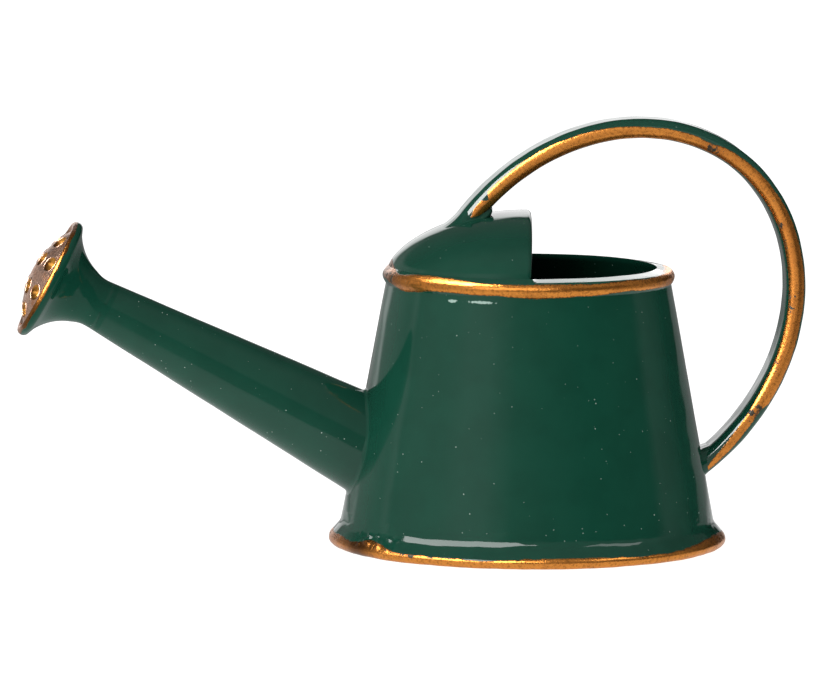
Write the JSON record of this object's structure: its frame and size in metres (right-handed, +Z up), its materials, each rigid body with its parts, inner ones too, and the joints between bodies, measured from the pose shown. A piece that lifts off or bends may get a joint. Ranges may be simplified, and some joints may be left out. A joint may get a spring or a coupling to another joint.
{
  "type": "watering can",
  "caption": "Small lacquered metal watering can with a half hood, a hoop strap handle, a tapered spout and a perforated domed rose.",
  "frame": {"origin": "on the body's axis, on the flat underside of the base plate", "axes": "+X towards the handle with the spout towards -X, +Z up through the mouth, +Y to the side"},
  "size_m": [0.0803, 0.0406, 0.0436],
  "materials": {
    "green_lacquer": "thick glossy dark green lacquer with a few pinholes and specks",
    "dark_lacquer": "thin dark green lacquer inside the can and under the base",
    "gold_paint": "brushed antique gold paint over green lacquer, worn, with an uneven edge",
    "rose_gold_paint": "brushed copper-gold paint, a little duller than the rim's"
  },
  "bodies": {
    "root": {"base_plate": "dark_lacquer", "base_seam_solder": "dark_lacquer", "body_wall": "green_lacquer", "foot_ring": "gold_paint", "handle_front_solder": "green_lacquer", "handle_rear_solder": "green_lacquer", "handle_strap": "gold_paint", "hood": "green_lacquer", "hood_seam_solder": "dark_lacquer", "rim_bead": "gold_paint", "rose_bell": "green_lacquer", "rose_face": "rose_gold_paint", "rose_rim": "rose_gold_paint", "spout_root_solder": "green_lacquer", "spout_tube": "green_lacquer"}
  },
  "joints": []
}
